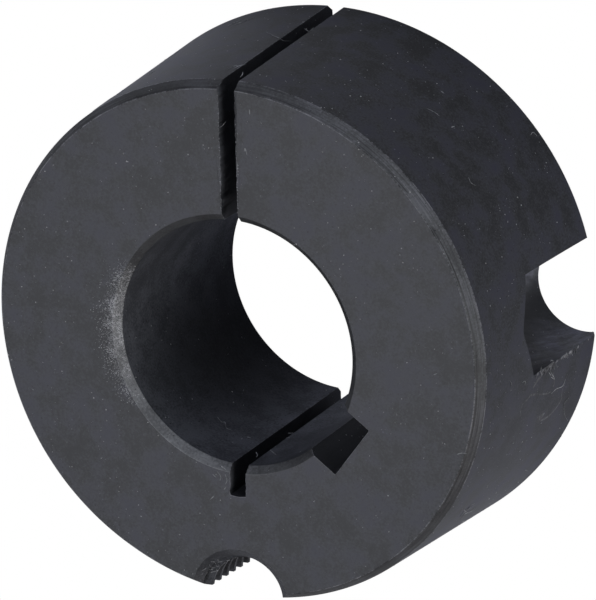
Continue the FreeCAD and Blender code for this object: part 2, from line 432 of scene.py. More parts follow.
def thread_cutter(size):
    """The thread's groove, one section swept along its helix."""
    root = size.thread_diameter / 2
    inner = size.tapping_diameter / 2 - 0.2
    root_half = size.thread_root / 2
    inner_half = root_half + (root - inner) * math.tan(size.thread_angle / 2)
    bm = bmesh.new()
    section = [bm.verts.new((0, radius, height - size.thread_start)) for radius, height in
               ((inner, -inner_half), (root, -root_half), (root, root_half), (inner, inner_half))]
    start = bm.faces.new(section)
    turns = math.ceil((size.bush_length + size.thread_start) / size.thread_pitch) + 1
    steps = turns * THREAD_STEPS
    bmesh.ops.spin(
        bm, geom=[start, *start.edges, *start.verts], axis=Z_AXIS,
        dvec=(0, 0, size.thread_pitch / THREAD_STEPS), angle=math.tau * turns, steps=steps,
        use_duplicate=False)
    bmesh.ops.recalc_face_normals(bm, faces=bm.faces[:])
    bmesh.ops.translate(bm, verts=bm.verts[:], vec=(0, -size.jack_circle / 2, 0))
    return placed(bm, "thread_cutter", ["tapped_wall"])


def carve(metal, cutters):
    """Take the cutters' shapes out of the metal. The walls that they leave get their finish."""
    for cutter in cutters:
        cut = metal.modifiers.new(cutter.name, "BOOLEAN")
        cut.operation = "DIFFERENCE"
        cut.solver = "EXACT"
        cut.material_mode = "TRANSFER"
        cut.object = cutter
    bpy.context.view_layer.update()
    shown = metal.evaluated_get(bpy.context.evaluated_depsgraph_get())
    carved = bpy.data.meshes.new_from_object(shown)
    metal.modifiers.clear()
    metal.data = carved
    for cutter in cutters:
        bpy.data.objects.remove(cutter)


def rub_cut_edges(bm, size):
    """Break the sharp edges that the saw, the drill and the broach left, as handling does."""
    tapped = FINISHES.index("tapped_wall")
    for walls, left_as in ((("sawn_wall", "broached_wall"), FINISHES.index("rubbed_edge")),
                           (("drilled_wall",), -1)):
        cut_walls = {FINISHES.index(name) for name in walls}
        broken = []
        for edge in bm.edges:
            sides = {face.material_index for face in edge.link_faces}
            if len(sides) == 2 and sides & cut_walls and tapped not in sides:
                if edge.calc_face_angle(0) > SHARP:
                    broken.append(edge)
        bmesh.ops.bevel(
            bm, geom=broken, offset=size.cut_edge, offset_type="OFFSET", segments=2, profile=0.5,
            affect="EDGES", material=left_as)


# The largest angle between faces that are shaded smooth, in degrees: on the metal, on the torn
# lip, and on small loose things.
METAL_SMOOTH = 35
LIP_SMOOTH = 50
LOOSE_SMOOTH = 80


def finish_piece(piece, smooth_angle=METAL_SMOOTH):
    """Bring a piece modelled in millimetres to metres, smooth it and let it ride on the bush."""
    piece.data.transform(Matrix.Scale(MM, 4))
    piece.data.shade_smooth()
    piece.data.set_sharp_from_angle(angle=math.radians(smooth_angle))
    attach(piece, BODY)
    return piece


def taper_bush_metal(size):
    """The whole bush, in the order in which its cuts leave clean walls."""
    metal = turned_blank(size)
    carve(metal, [
        keyway_cutter(size),
        flex_slot_cutter(size),
        saw_slit_cutter(size),
        tapping_cutter(size),
        thread_cutter(size),
        clamp_hole_cutter(size, 1),
        clamp_hole_cutter(size, -1),
    ])
    bm = bmesh.new()
    bm.from_mesh(metal.data)
    bmesh.ops.remove_doubles(bm, verts=bm.verts[:], dist=WELD)
    rub_cut_edges(bm, size)
    for vert in bm.verts:
        vert.co.z = min(max(vert.co.z, 0), size.bush_length)
    bm.to_mesh(metal.data)
    bm.free()
    finish_piece(metal)
    metal.modifiers.new("even_shading", "WEIGHTED_NORMAL").keep_sharp = True
    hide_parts(NODE)
    return metal


def around(out, turn, height):
    """A place so far out from the bore's axis, turned round from +X, at a height."""
    return Vector((out * math.cos(turn), out * math.sin(turn), height))


def on_cone(size, turn, height, lift=0.0):
    """A place on the cone: degrees round from +X, and millimetres above the large end."""
    return around(cone_radius(size, height) + lift, math.radians(turn), height)


def in_bore(size, turn, height, lift=0.0):
    """A place on the bore's wall: degrees round from +X, and millimetres above the large end."""
    return around(size.bore_diameter / 2 - lift, math.radians(turn), height)


def on_small_end(size, x, y, lift=0.0):
    """A place on the small end's face."""
    return Vector((x, y, size.bush_length + lift))


def from_axis(place):
    """The way out from the bore's axis."""
    return Vector((place.x, place.y, 0)).normalized()


def to_axis(place):
    """The way to the bore's axis."""
    return -from_axis(place)


def upwards(place):
    """The way out of the small end's face."""
    return Z_AXIS


def smooth_route(points, steps=6):
    """Places on a smooth curve through a few points."""
    held = [2 * points[0] - points[1], *points, 2 * points[-1] - points[-2]]
    route = []
    for before, start, end, after in zip(held, held[1:], held[2:], held[3:]):
        leave = start + (end - before) / 6
        arrive = end - (after - start) / 6
        route += interpolate_bezier(start, leave, arrive, end, steps + 1)[:-1]
    return route + [points[-1]]


def skin(bm, rings):
    """Close a run of rings of corners into a tube with both ends shut."""
    for ring, following in zip(rings, rings[1:]):
        for side in range(len(ring)):
            bm.faces.new((ring[side - 1], ring[side], following[side], following[side - 1]))
    bm.faces.new(rings[0])
    bm.faces.new(rings[-1])


# A strand's sides, and its width at its ends as a share of its middle's.
STRAND_SIDES = 6
END_WIDTH = 0.25


def strand(bm, route, width, thickness, outwards):
    """A thin strand that lies along a route and runs out fine at both ends."""
    rings = []
    for number, place in enumerate(route):
        ahead = route[min(number + 1, len(route) - 1)] - route[max(number - 1, 0)]
        out = outwards(place)
        across = ahead.cross(out).normalized()
        share = number / (len(route) - 1)
        fine = END_WIDTH + (1 - END_WIDTH) * math.sqrt(math.sin(math.pi * share) + 1e-9)
        ring = []
        for side in range(STRAND_SIDES):
            turn = math.tau * side / STRAND_SIDES
            ring.append(bm.verts.new(
                place + across * (width / 2 * fine * math.cos(turn))
                + out * (thickness / 2 * fine * math.sin(turn))))
        rings.append(ring)
    skin(bm, rings)


def crossings(metal, lines, seed):
    """Where random straight lines cross the metal, which is evenly by area. Each place comes with
    the way out of the metal, its finish and the random numbers of its own line."""
    mesh = metal.data
    tree = BVHTree.FromPolygons(
        [vert.co for vert in mesh.vertices], [face.vertices[:] for face in mesh.polygons])
    middle = Vector((0, 0, BUSH_LENGTH / 2))
    reach = math.hypot(BUSH_HIGH.y, BUSH_LENGTH / 2)
    for number in range(lines):
        chance = random.Random(100000 * seed + number)
        way = Vector([chance.gauss(0, 1) for _ in range(3)]).normalized()
        turned = Matrix.Rotation(chance.uniform(0, math.tau), 3, way)
        aside = turned @ way.orthogonal().normalized()
        start = middle + aside * (reach * math.sqrt(chance.random())) - way * (2 * reach)
        place, outwards, face, _ = tree.ray_cast(start, way)
        while place:
            yield place / MM, outwards, FINISHES[mesh.polygons[face].material_index], chance
            place, outwards, face, _ = tree.ray_cast(place + way * PAST_HIT, way)


@lru_cache
def crumb_shape():
    """The corners of a crumb one unit wide, and the numbers of the corners of each face."""
    bm = bmesh.new()
    bmesh.ops.create_icosphere(bm, subdivisions=1, radius=0.5)
    bm.verts.index_update()
    corners = [vert.co.copy() for vert in bm.verts]
    faces = [[vert.index for vert in face.verts] for face in bm.faces]
    bm.free()
    return corners, faces


def crumb(bm, place, outwards, width, chance):
    """One uneven crumb, half sunk in the surface."""
    seat = Matrix.Translation(place) @ outwards.to_track_quat("Z", "Y").to_matrix().to_4x4()
    turn = Matrix.Rotation(chance.uniform(0, math.tau), 4, "Z")
    shape = Matrix.Diagonal((width, width * chance.uniform(0.5, 1.0), width * 0.6, 1))
    corners, faces = crumb_shape()
    made = [bm.verts.new(seat @ turn @ shape @ corner) for corner in corners]
    for face in faces:
        bm.faces.new([made[number] for number in face])


# Loose flakes on a blind half-hole's lip: height, half-width and how far they stand over.
BURR_FLAKES = ((12.2, 0.7, 0.16), (10.7, 0.6, 0.26), (7.8, 0.45, 0.28), (6.4, 0.3, 0.12))

# Where the torn lip starts above the large end, its steps, and how far it lies on the cone.
LIP_START = 2.4
LIP_STEPS = 170
LIP_SEAT = 0.25

# How many thin whiskers of metal hang from such a lip, how far round a flake they scatter, and how
# far up each starts at least.
WHISKERS = 26
WHISKER_SCATTER = 0.7
WHISKER_START = 2.0


# Layers of the lip's tears: how closely they lie along it, a number of their own, and their share.
TEARS = ((2.2, 1, 1.0), (6.5, 2, 0.7))


def burr_reach(height, side):
    """How far the torn lip stands over the half-hole at a height."""
    torn = sum(share * noise.noise(Vector((height * close, 3 * side, number)))
               for close, number, share in TEARS)
    flakes = sum(over * math.exp(-((height - middle) / wide) ** 2)
                 for middle, wide, over in BURR_FLAKES)
    plain = 0.03 + 0.22 * torn
    return max(0.0, plain + flakes * (0.9 + 0.8 * torn))


def lip_turn(size, height):
    """Angle from a blind half-hole's middle to its lip on the cone, at a height."""
    out = cone_radius(size, height)
    hole = size.clearance_circle / 2
    radius = size.clearance_diameter / 2
    return math.acos((out ** 2 + hole ** 2 - radius ** 2) / (2 * out * hole))


def by_lip(size, side, height, along, lift):
    """A place on the cone so far along past a blind half-hole's lip, at a height."""
    out = cone_radius(size, height) + lift
    place = around(out, size.clearance_direction - lip_turn(size, height) + along / out, height)
    return Vector((side * place.x, place.y, place.z))


def torn_lip(size, side):
    """The thin ragged metal that the drill pushed over the lower lip of a blind half-hole."""
    chance = random.Random(11)
    bm = bmesh.new()
    rings = []
    for number in range(LIP_STEPS + 1):
        height = LIP_START + (size.clearance_depth - LIP_START - 0.1) * number / LIP_STEPS
        over = burr_reach(height, side)
        curl = 0.6 * over - 0.07
        edge = over - 0.08
        section = ((-LIP_SEAT, curl / 2), (edge, curl + 0.015), (edge, curl - 0.015),
                   (-LIP_SEAT, -0.08))
        rings.append([bm.verts.new(by_lip(size, side, height, *corner)) for corner in section])
    skin(bm, rings)
    for number in range(WHISKERS):
        height = chance.choice(BURR_FLAKES)[0] + chance.gauss(0, WHISKER_SCATTER)
        start = chance.uniform(-0.1, 0.15)
        drop = chance.uniform(0.3, 0.9)
        lean = chance.uniform(-0.4, 0.4)
        route = []
        for share, lift in ((0, 0.03), (0.5, 0.06), (1, 0.02)):
            at = min(max(height + lean * share, WHISKER_START), size.clearance_depth)
            route.append(by_lip(size, side, at, start - drop * share, lift))
        strand(bm, smooth_route(route), chance.uniform(0.05, 0.09), 0.05, from_axis)
    bmesh.ops.recalc_face_normals(bm, faces=bm.faces[:])
    return finish_piece(placed(bm, "torn_lip", ["burr"]), LIP_SMOOTH)


# Bright chips beside the slit, as (x, y) in millimetres.
CHIPS = ((1.10, 18.9), (1.16, 18.6), (1.12, 18.3), (1.18, 18.0), (1.15, 17.7))

# The burr on the corner where a blind half-hole's lower lip meets the large end.
LARGE_END_BURR = (
    (27.60, -3.02, 0.12), (27.76, -2.98, 0.30), (27.94, -2.95, 0.60), (28.10, -2.95, 0.90))


# The beads along the slit's edges: the side, and how far apart they are.
BEADS = ((-1, 0.42), (1, 0.30))
BEAD_WIDTHS = (0.07, 0.17)
CHIP_WIDTH = 0.2
# How deep such a burr sits in the face.
BURR_SEAT = 0.01
# Where the other burrs run: turned on from the slit along the rim, in radians, and down the bore
# along the keyway's edge.
RIM_BURR = (0, 0.03, 0.06, 0.09)
KEYWAY_BURR = (0, 3, 6, 9, 12)


def slit_burrs(size, seed=5):
    """Small beads of metal along the slit's edges, and the turned edge's burr beside it."""
    chance = random.Random(seed)
    bm = bmesh.new()
    inner = size.bore_diameter / 2 + 1
    outer = cone_radius(size, size.bush_length) - 1
    for side, spacing in BEADS:
        for number in range(int((outer - inner) / spacing)):
            x = size.saw_offset + side * (size.saw_width / 2 + chance.uniform(-0.02, 0.05))
            y = inner + spacing * (number + chance.random())
            width = chance.uniform(*BEAD_WIDTHS)
            crumb(bm, on_small_end(size, x, y, -BURR_SEAT), Z_AXIS, width, chance)
    rim = cone_radius(size, size.bush_length - size.chamfer_length) - size.chamfer_width
    beside = math.asin((size.saw_offset + size.saw_width / 2) / rim)
    route = [around(rim, math.pi / 2 - beside - further, size.bush_length - BURR_SEAT)
             for further in RIM_BURR]
    strand(bm, smooth_route(route), 0.10, 0.05, upwards)
    for x, y in CHIPS:
        crumb(bm, on_small_end(size, x, y, -BURR_SEAT), Z_AXIS, CHIP_WIDTH, chance)
    edge = math.degrees(size.key_direction - math.asin(size.key_width / size.bore_diameter))
    route = [in_bore(size, edge + 0.15, size.bush_length - size.small_bore_chamfer - down)
             for down in KEYWAY_BURR]
    strand(bm, smooth_route(route), 0.07, 0.05, to_axis)
    route = [Vector(place) for place in LARGE_END_BURR]
    strand(bm, smooth_route(route), 0.16, 0.12, from_axis)
    return finish_piece(placed(bm, "slit_burrs", ["burr"]))


# Lint that shows on the cone, as (degrees from +X, millimetres above the large end).
CONE_LINT = (
    ((97.0, 9.9), (95.3, 10.6), (93.8, 11.2), (92.1, 11.7), (90.3, 12.4), (88.6, 12.2)),
    ((89.8, 8.3), (88.0, 9.0), (88.1, 7.8)),
    ((-18.0, 4.4), (-19.1, 5.1), (-22.4, 3.9), (-25.5, 1.9)),
    ((-12.2, 6.6), (-13.6, 7.0), (-13.3, 8.4), (-13.8, 9.5)),
    ((-9.3, 10.3), (-10.3, 9.4), (-7.5, 10.8)),
    ((-3.8, 19.6), (-4.9, 19.1), (-5.5, 19.3)),
    ((-6.3, 16.7), (-6.4, 16.1), (-7.3, 16.1)),
    ((-40.2, 14.6), (-41.3, 14.7), (-40.3, 16.8), (-43.2, 15.6)),
    ((38.7, 2.7), (38.9, 2.0), (37.8, 1.8)),
    ((38.6, 16.1), (37.4, 16.3), (36.4, 15.9)),
    ((55.3, 13.3), (53.6, 12.9), (52.3, 12.8)),
    ((56.6, 9.1), (55.7, 9.1)),
    ((49.0, 12.8), (48.8, 12.2)),
    ((-5.6, 7.5), (-6.3, 7.2), (-7.3, 6.9)),
    ((-6.1, 6.6), (-6.7, 6.2), (-7.4, 5.9)),
    ((-5.4, 12.8), (-6.5, 12.8)),
    ((-5.2, 10.9), (-5.7, 10.3), (-6.4, 10.1)),
    ((-7.8, 11.0), (-9.0, 10.3)),
    ((108.3, 18.3), (106.9, 19.0), (106.5, 18.8)),
    ((101.5, 11.4), (100.2, 11.9), (99.4, 12.0)),
    ((98.5, 20.8), (98.9, 20.2)),
    ((93.6, 21.6), (92.9, 20.3), (92.3, 20.6), (91.7, 20.3)),
    ((92.6, 21.2), (91.9, 20.2), (91.0, 19.9)),
    ((88.6, 23.4), (89.0, 22.6), (89.6, 21.9)),
)
# Lint on the bore's wall, as the lint on the cone.
BORE_LINT = (
    ((-119.3, 17.4), (-116.2, 17.7), (-115.0, 17.4), (-112.3, 18.2), (-109.9, 18.1)),
    ((-90.3, 21.0), (-87.9, 21.7), (-87.0, 22.3)),
    ((-85.4, 20.0), (-82.3, 20.7), (-78.8, 21.5)),
    ((-87.9, 14.9), (-86.3, 14.9), (-85.6, 14.7)),
    ((-85.7, 16.3), (-84.0, 16.2)),
    ((-101.5, 18.1), (-99.7, 18.0)),
)
# Lint on the small end's face, as (x, y) in millimetres.
FACE_LINT = (
    ((1.9, 20.1), (2.0, 20.4), (2.2, 19.8)),
    ((2.6, 24.4), (2.6, 24.2), (2.6, 23.9)),
    ((3.7, 23.3), (3.9, 23.1)),
    ((1.1, 22.0), (1.3, 21.7)),
    ((24.1, -7.9), (24.6, -7.7), (25.1, -7.7)),
    ((21.7, -0.1), (22.1, 0.1)),
    ((-3.1, -16.7), (-2.6, -16.2)),
    ((-2.2, -13.5), (-1.8, -14.0), (-1.9, -14.5)),
    ((-1.3, -13.7), (-1.1, -14.3), (-1.3, -14.8)),
    ((-2.7, -13.9), (-2.3, -14.2)),
    ((-1.2, -15.0), (-1.5, -15.4)),
    ((-1.7, -12.9), (-1.2, -13.2)),
    ((1.05, 19.4), (1.1, 18.6), (1.05, 18.3), (1.15, 17.9)),
)
# A finer fibre on that face, which hangs over the slit.
SLIT_FIBRE = ((-0.85, 22.1), (-0.4, 22.45), (0.0, 22.9))
# Pale smears that a wiped finger or cloth left on the cone, as the lint on it, with their widths,
# how far they spread past those, and their thickness.
SMEARS = (
    (((-13.8, 6.7), (-15.7, 6.6), (-17.1, 6.3), (-18.7, 6.9), (-19.8, 8.1), (-19.7, 9.9),
      (-19.2, 11.2)), 0.22),
    (((-18.2, 9.6), (-18.6, 10.4), (-18.1, 11.2)), 0.50),
    (((-13.2, 9.5), (-12.9, 10.7), (-11.9, 12.2), (-10.9, 14.0), (-11.2, 14.9), (-11.9, 15.9),
      (-13.2, 16.0), (-14.6, 15.8)), 0.20),
    (((-6.7, 11.6), (-7.6, 12.6), (-8.5, 13.5), (-9.4, 14.1)), 0.32),
    (((-8.4, 9.9), (-10.8, 9.2), (-12.4, 9.2)), 0.26),
)
SMEAR_SPREAD = 1.3
SMEAR_THICKNESS = 0.012


# The sides of the cone that the photograph doesn't show, in degrees from +X.
HIDDEN_SIDES = ((105, 160), (192, 252), (288, 332))


def stray_lint(size, count=26, seed=9):
    """Routes of short curled hairs on the cone's hidden sides."""
    chance = random.Random(seed)
    routes = []
    for _ in range(count):
        start, end = chance.choice(HIDDEN_SIDES)
        turn = chance.uniform(start, end)
        height = chance.uniform(3, size.bush_length - 3)
        heading = chance.uniform(0, math.tau)
        step = chance.uniform(0.35, 0.9)
        route = []
        for _ in range(chance.randint(3, 5)):
            route.append((turn, height))
            heading += chance.uniform(-1.1, 1.1)
            turn += math.degrees(step * math.cos(heading) / cone_radius(size, height))
            height += step * math.sin(heading)
        routes.append(route)
    return routes


# Which way round the threaded half-hole the fibres in its mouth start, in radians, how deep they
# start, and how far they keep off its wall.
MOUTH_TURNS = (1.9, 2.65)
MOUTH_DEPTHS = (0.2, 2.2)
OFF_WALL = 0.03


def mouth_lint(size, count=12, seed=17):
    """Routes of fibres that are caught in the mouth of the threaded half-hole."""
    chance = random.Random(seed)
    middle = Vector((0, -size.jack_circle / 2, size.bush_length))
    routes = []
    for _ in range(count):
        turn = chance.uniform(*MOUTH_TURNS)
        depth = chance.uniform(*MOUTH_DEPTHS)
        route = []
        for _ in range(4):
            out = max(size.mouth_diameter / 2 - depth, size.tapping_diameter / 2) - OFF_WALL
            route.append(middle + around(out, turn, -depth))
            turn += chance.uniform(-0.07, 0.07)
            depth = max(0.1, depth + chance.uniform(-0.3, 0.3))
        routes.append(route)
    return routes


def lint(size):
    """Hairs and threads that lie on the cone, in the bore and on the small end."""
    bm = bmesh.new()
    chance = random.Random(3)
    for routes, seat, lift, outwards, widths, thickness in (
            ((*CONE_LINT, *stray_lint(size)), on_cone, 0.02, from_axis, (0.06, 0.10), 0.05),
            (BORE_LINT, in_bore, 0.02, to_axis, (0.08, 0.12), 0.06),
            (FACE_LINT, on_small_end, 0.005, upwards, (0.05, 0.09), 0.04)):
        for route in routes:
            places = [seat(size, *place, lift) for place in route]
            strand(bm, smooth_route(places), chance.uniform(*widths), thickness, outwards)
    places = [on_small_end(size, x, y, 0.005) for x, y in SLIT_FIBRE]
    strand(bm, smooth_route(places), 0.03, 0.03, upwards)
    for route in mouth_lint(size):
        strand(bm, smooth_route(route), chance.uniform(0.04, 0.06), 0.03, upwards)
    bmesh.ops.recalc_face_normals(bm, faces=bm.faces[:])
    return finish_piece(placed(bm, "lint", ["lint"]), LOOSE_SMOOTH)


def smears(size):
    """Flat smears that lie on the cone below a blind half-hole."""
    bm = bmesh.new()
    for route, width in SMEARS:
        places = [on_cone(size, turn, height) for turn, height in route]
        strand(bm, smooth_route(places), SMEAR_SPREAD * width, SMEAR_THICKNESS, from_axis)
    bmesh.ops.recalc_face_normals(bm, faces=bm.faces[:])
    return finish_piece(placed(bm, "smears", ["smear"]), LOOSE_SMOOTH)


# Dust keeps so far inside the bush's outermost places and above the floor, in millimetres.
DUST_INSIDE = 0.05
DUST_LOWEST = 0.3


def clear_of_box(place):
    """Whether a crumb here stays off the floor and off the outermost places of the bush."""
    low = [value / MM + DUST_INSIDE for value in BUSH_LOW]
    high = [value / MM - DUST_INSIDE for value in BUSH_HIGH]
    return place.z > DUST_LOWEST and all(low[axis] < place[axis] < high[axis] for axis in (0, 1))


# How much of the dust a cut surface keeps, where it isn't as the others are.
DUST_SHARES = {"tapped_wall": 1.0, "faced_end": 0.9, "bored_wall": 0.20, "sawn_wall": 0.10}
DUST_SHARE = 0.6
# The dust's clusters: how closely they lie, and how far they change its amount.
DUST_CLUSTERS = ((0.22, 3), (0.8, 1.5))


def dust(metal, lines=3600, seed=21):
    """Specks of dust, in loose clusters all over the bush and most of them in the thread."""
    bm = bmesh.new()
    for place, outwards, finish, chance in crossings(metal, lines, seed):
        cluster = max(0.1, 1 + sum(much * noise.noise(place * close)
                                   for close, much in DUST_CLUSTERS))
        kept = chance.random() < DUST_SHARES.get(finish, DUST_SHARE) * cluster
        if kept and clear_of_box(place):
            crumb(bm, place, outwards, 0.05 + 0.13 * chance.random() ** 2.5, chance)
    return finish_piece(placed(bm, "dust", ["dust"]), LOOSE_SMOOTH)


# Where the bright grains lie round the bore, partly rubbed grain and partly painted glints where
# light catches the chamfer: the patch's middle and how far it reaches each way, and the size of the
# finest specks in it, in metres.
GRAINS_MIDDLE = math.radians(181)
GRAINS_REACH = math.radians(34)
GRAINS_SPECKLE = 0.00012
# How far the grains lie beyond the bore's chamfer, how soon most of them thin out there, and the
# share that thins out later. Their widths, and how deep they sink, as a share of their width.
GRAINS_BEYOND = 2.6
GRAINS_FADE = 0.7
GRAINS_FAR = 0.1
GRAIN_WIDTHS = (0.05, 0.13)
GRAIN_SUNK = 0.1


def glitter(size, count=15000, seed=33):
    """A patch of bright grains on the bore's chamfer and on the face beside it, partly painted
    glints.
    """
    chance = random.Random(seed)
    bm = bmesh.new()
    bore = size.bore_diameter / 2
    rim = bore + size.small_bore_chamfer
    for _ in range(count):
        apart = chance.uniform(-1, 1)
        out = bore + chance.uniform(0.02, size.small_bore_chamfer + GRAINS_BEYOND)
        beyond = max(0, out - rim)
        by_rim = math.exp(-(beyond / GRAINS_FADE) ** 1.5)
        thickly = (1 - apart ** 2) * ((1 - GRAINS_FAR) * by_rim + GRAINS_FAR * math.exp(-beyond))
        width = chance.uniform(*GRAIN_WIDTHS)
        if chance.random() > thickly:
            continue
        turn = GRAINS_MIDDLE + apart * GRAINS_REACH
        way = around(1, turn, 0)
        place = way * out + Z_AXIS * (size.bush_length - max(0, rim - out))
        outwards = Z_AXIS if beyond else (Z_AXIS - way).normalized()
        crumb(bm, place - outwards * GRAIN_SUNK * width, outwards, width, chance)
    return finish_piece(placed(bm, "glitter", ["glitter"]), LOOSE_SMOOTH)


class FinishSettings(bpy.types.PropertyGroup):
    """Colours and roughness of the metal and of what lies on it."""

    metal: colour("Metal", "Colour of the phosphated iron", 0.045, 0.047, 0.053)
    violet: colour("Violet tinge", "Colour that the coat's patches lean to", 0.046, 0.046, 0.076)
    worn: colour("Worn metal", "Colour where the coat is thin", 0.0465, 0.0475, 0.0495)
    rubbed: colour("Rubbed edge", "Colour where the edges are rubbed", 0.20, 0.20, 0.215)
    # The bright grains' pale colour is partly painted glints.
    grains: colour("Bright grains", "Colour of the bright grains by the bore", 0.60, 0.60, 0.61)
    burr: colour("Burr", "Colour of torn metal", 0.32, 0.325, 0.34)
    dust: colour("Dust", "Colour of dust", 0.62, 0.62, 0.62)
    lint: colour("Lint", "Colour of lint", 0.45, 0.46, 0.47)
    smear: colour("Smear", "Colour of a smear", 0.14, 0.14, 0.145)
    roughness: amount("Roughness", "Roughness of the turned surfaces", 0.42)


def add_node(tree, kind, sockets=(), **settings):
    """A new node. Sockets pair an input's name or number with a value or another node's output."""
    made = tree.nodes.new("ShaderNode" + kind)
    for name, value in settings.items():
        setattr(made, name, value)
    for socket, value in dict(sockets).items():
        if isinstance(value, bpy.types.NodeSocket):
            tree.links.new(value, made.inputs[socket])
        else:
            made.inputs[socket].default_value = value
    return made


def calculate(tree, operation, *values, clamp=False):
    """The output of a Math node over these values."""
    sockets = dict(enumerate(values))
    return add_node(tree, "Math", sockets, operation=operation, use_clamp=clamp).outputs[0]


def line(tree, value, slope, start):
    """A value times a slope, plus a start."""
    return calculate(tree, "MULTIPLY_ADD", value, slope, start)


def ramp(tree, value, slope, start):
    """A value times a slope, plus a start, held between 0 and 1."""
    return calculate(tree, "MULTIPLY_ADD", value, slope, start, clamp=True)


def rising(tree, value, start, end):
    """A value in metres as 0 at a start and 1 at an end, both in millimetres."""
    return ramp(tree, value, 1 / ((end - start) * MM), -start / (end - start))


def squared(tree, value):
    """A value times itself."""
    return calculate(tree, "MULTIPLY", value, value)


def vector_math(tree, operation, *values):
    """The outputs of a Vector Math node over these values."""
    return add_node(tree, "VectorMath", dict(enumerate(values)), operation=operation).outputs


def soft_noise(tree, place, scale, detail, roughness=0.5):
    """Noise over a place, from 0 to 1."""
    return add_node(tree, "TexNoise", {
        "Vector": place, "Scale": scale, "Detail": detail, "Roughness": roughness}).outputs["Fac"]


def new_group(name, inputs, outputs):
    """An empty node group with its sockets, and its input and output nodes."""
    tree = bpy.data.node_groups.new(name, "ShaderNodeTree")
    for socket, default in inputs:
        made = tree.interface.new_socket(socket, in_out="INPUT", socket_type="NodeSocketFloat")
        made.default_value = default
    for socket in outputs:
        tree.interface.new_socket(socket, in_out="OUTPUT", socket_type="NodeSocketFloat")
    given = tree.nodes.new("NodeGroupInput")
    result = tree.nodes.new("NodeGroupOutput")
    return tree, given.outputs, result.inputs


def object_place(tree):
    """The place on the piece, in metres."""
    return add_node(tree, "TexCoord").outputs["Object"]


def coordinates(tree):
    """The place's X, Y and Z, in metres."""
    return add_node(tree, "SeparateXYZ", {0: object_place(tree)}).outputs


# How noise becomes clear patches, as a slope and a start: the coat's shade and its tinge, the tool
# lines, the gaps in the groove's painted shadow and the speckle of the bright grains' painted
# glints.
SHADE_CONTRAST = (6.0, -2.5)
TINGE_CONTRAST = (4.0, -1.8)
LINES_CONTRAST = (2.2, -0.6)
GROOVE_CONTRAST = (5.0, -1.9)
SPECKLE_CONTRAST = (6.0, -2.8)

# Flecks of the coat: their widest reach as a share of their distance apart, how crisp their edges
# are, and how pale and how dark they get.
FLECK_REACH = 0.24
FLECK_CRISP = 15.0
FLECK_SHADES = (2.0, -1.2)


def grain_group():
    """Crystalline grain of the phosphate coat, with shaded and tinged patches and small flecks."""
    tree, given, result = new_group(
        "phosphate_grain", [("Grain", 0.00022), ("Patch", 0.003), ("Apart", 0.00045)],
        ["Shade", "Tinge", "Fleck", "Height"])
    place = object_place(tree)

    def per_metre(width):
        return calculate(tree, "DIVIDE", 1.0, given[width])

    fine = soft_noise(tree, place, per_metre("Grain"), 2.0, 0.6)
    broad = soft_noise(tree, place, per_metre("Patch"), 3.0, 0.55)
    mixed = line(tree, broad, 0.5, calculate(tree, "MULTIPLY", fine, 0.5))
    spots = add_node(
        tree, "TexVoronoi", {"Vector": place, "Scale": per_metre("Apart")}).outputs
    chance = add_node(tree, "SeparateColor", {0: spots["Color"]}).outputs
    wide = calculate(tree, "MULTIPLY", chance[0], FLECK_REACH)
    inside = calculate(tree, "MULTIPLY", calculate(
        tree, "SUBTRACT", wide, spots["Distance"]), FLECK_CRISP, clamp=True)
    pale_or_dark = line(tree, chance[1], *FLECK_SHADES)
    tree.links.new(ramp(tree, mixed, *SHADE_CONTRAST), result["Shade"])
    tree.links.new(ramp(tree, broad, *TINGE_CONTRAST), result["Tinge"])
    tree.links.new(calculate(tree, "MULTIPLY", inside, pale_or_dark), result["Fleck"])
    tree.links.new(fine, result["Height"])
    return tree


def lines_group():
    """Uneven tool lines: many thin ones, strong across and drawn out along the cut."""
    tree, given, result = new_group(
        "tool_lines", [("Across", 0.0), ("Along", 0.0), ("Spacing", 0.0001), ("Reach", 0.02)],
        ["Height"])
    place = add_node(tree, "CombineXYZ", {
        "X": calculate(tree, "DIVIDE", given["Across"], given["Spacing"]),
        "Y": calculate(tree, "DIVIDE", given["Along"], given["Reach"])})
    lines = soft_noise(tree, place.outputs[0], 1.0, 2.0, 0.7)
    tree.links.new(ramp(tree, lines, *LINES_CONTRAST), result["Height"])
    return tree


# Painted shadow of a thin groove beside the cone chamfer, which is not modelled: its darkest factor
# and how long its broken bits are, in metres.
GROOVE_SHADE = 0.2
GROOVE_BITS = 0.004


def painted_groove_shadow(tree, across, size):
    """A factor that paints the shadow of a thin broken groove beside the cone chamfer's inner edge.
    """
    edge = cone_radius(size, size.bush_length - size.chamfer_length) - size.chamfer_width
    middle = (edge + size.groove_offset) * MM
    apart = calculate(tree, "ABSOLUTE", calculate(tree, "SUBTRACT", across, middle))
    broken = soft_noise(tree, object_place(tree), 1 / GROOVE_BITS, 2.0)
    wall = (1 - GROOVE_SHADE) / (size.groove_width / 2 * MM)
    return calculate(tree, "MAXIMUM", ramp(tree, broken, *GROOVE_CONTRAST),
                     ramp(tree, apart, wall, GROOVE_SHADE))


def facing(tree, turn):
    """How far a place lies towards a direction round the bush: 1 along it, 0 across, -1 behind."""
    flat = vector_math(tree, "MULTIPLY", object_place(tree), (1, 1, 0))[0]
    way = vector_math(tree, "NORMALIZE", flat)[0]
    return vector_math(tree, "DOT_PRODUCT", way, around(1, turn, 0))["Value"]


# Painted light on the chamfers: each is painted paler on the side where light falls on it. The
# side's middle in degrees from +X, how narrow it is, how much it adds to the brightness, and the
# brightness elsewhere.
PAINTED_LIGHT_SIDES = {"turned_chamfer": (38, 4.0, 1.1, 0.70), "bore_chamfer": (225, 2.0, 2.2, 0.74)}

